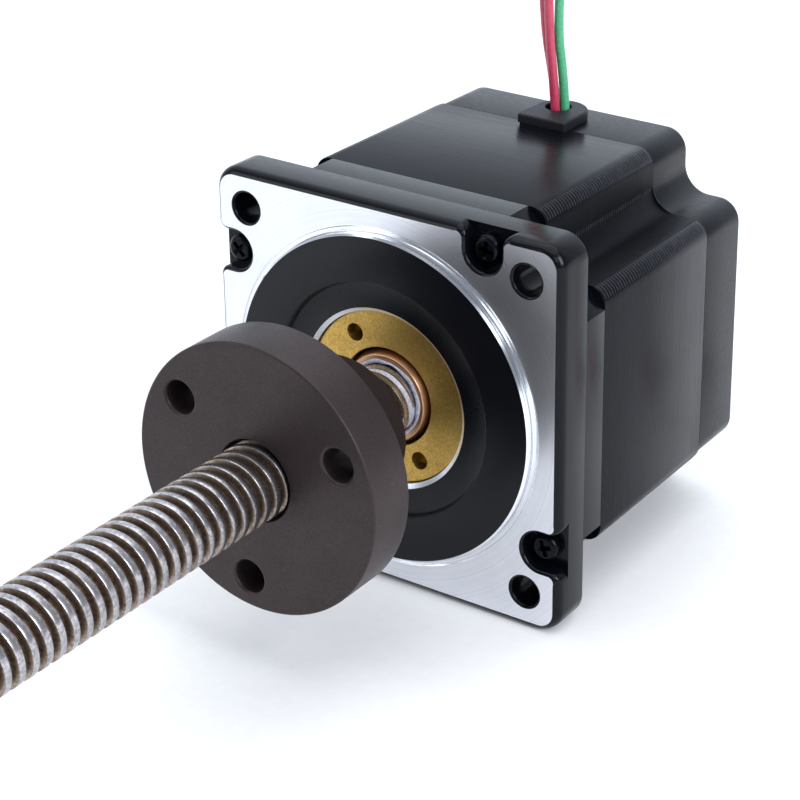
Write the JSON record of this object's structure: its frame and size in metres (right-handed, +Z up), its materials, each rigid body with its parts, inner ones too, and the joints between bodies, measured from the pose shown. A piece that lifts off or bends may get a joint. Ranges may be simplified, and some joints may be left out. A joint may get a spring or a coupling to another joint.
{
  "type": "linear stepper motor",
  "caption": "Square-flanged stepper motor whose rotor turns a long lead screw, driving a round flanged nut along it; three leads rise from a grommet.",
  "frame": {"origin": "centre of the machined front face, on the screw's axis", "axes": "+X to the right seen from the front, +Y into the motor along the screw, +Z up"},
  "size_m": [0.141, 0.337, 0.1626],
  "materials": {
    "cover_casting": "gloss black paint, machined bare face",
    "lamination_steel": "brushed",
    "bearing_steel": "ground",
    "cage_steel": "pressed",
    "brass": "turned",
    "bronze": "turned",
    "screw_steel": "rolled, oiled",
    "fastener_steel": "black oxide",
    "nut_steel": "dark phosphate",
    "copper_wire": "enamelled",
    "insulator_plastic": "moulded",
    "magnet": "sintered",
    "rotor_steel": "ground",
    "spring_steel": "blued",
    "grommet_rubber": "matt",
    "red_insulation": "satin",
    "green_insulation": "satin"
  },
  "bodies": {
    "motor": {"front_cover": "cover_casting", "rear_cover": "cover_casting", "stator_stack": "lamination_steel", "stator_coils": "copper_wire", "coil_insulator_front": "insulator_plastic", "coil_insulator_rear": "insulator_plastic", "front_bearing_outer": "bearing_steel", "front_bearing_balls": "bearing_steel", "front_bearing_cage": "cage_steel", "rear_bearing_outer": "bearing_steel", "rear_bearing_balls": "bearing_steel", "rear_bearing_cage": "cage_steel", "wave_spring": "spring_steel", "bearing_retainer": "brass", "cover_screws": "fastener_steel", "lead_grommet": "grommet_rubber", "lead_red_front": "red_insulation", "lead_red_back": "red_insulation", "lead_green": "green_insulation"},
    "rotor": {"lead_screw": "screw_steel", "screw_collar": "bronze", "front_bearing_inner": "bearing_steel", "rear_bearing_inner": "bearing_steel", "rotor_cup_front": "rotor_steel", "rotor_cup_rear": "rotor_steel", "rotor_magnet": "magnet", "rotor_spacer": "rotor_steel", "rotor_circlip": "spring_steel"},
    "nut": {"flange_nut": "nut_steel"}
  },
  "joints": [
    {"name": "screw_spin", "type": "hinge", "parent": "motor", "child": "rotor", "pos_m": [0, 0, 0], "axis": [0, 1, 0], "range_deg": [-508, 8384]},
    {"name": "nut_travel", "type": "slide", "parent": "motor", "child": "nut", "axis": [0, -1, 0], "range_m": [-0.009, 0.148]}
  ],
  "couplings": [
    {"joint": "nut_travel", "follows": "screw_spin", "m_per_rad": 0.0010106}
  ]
}
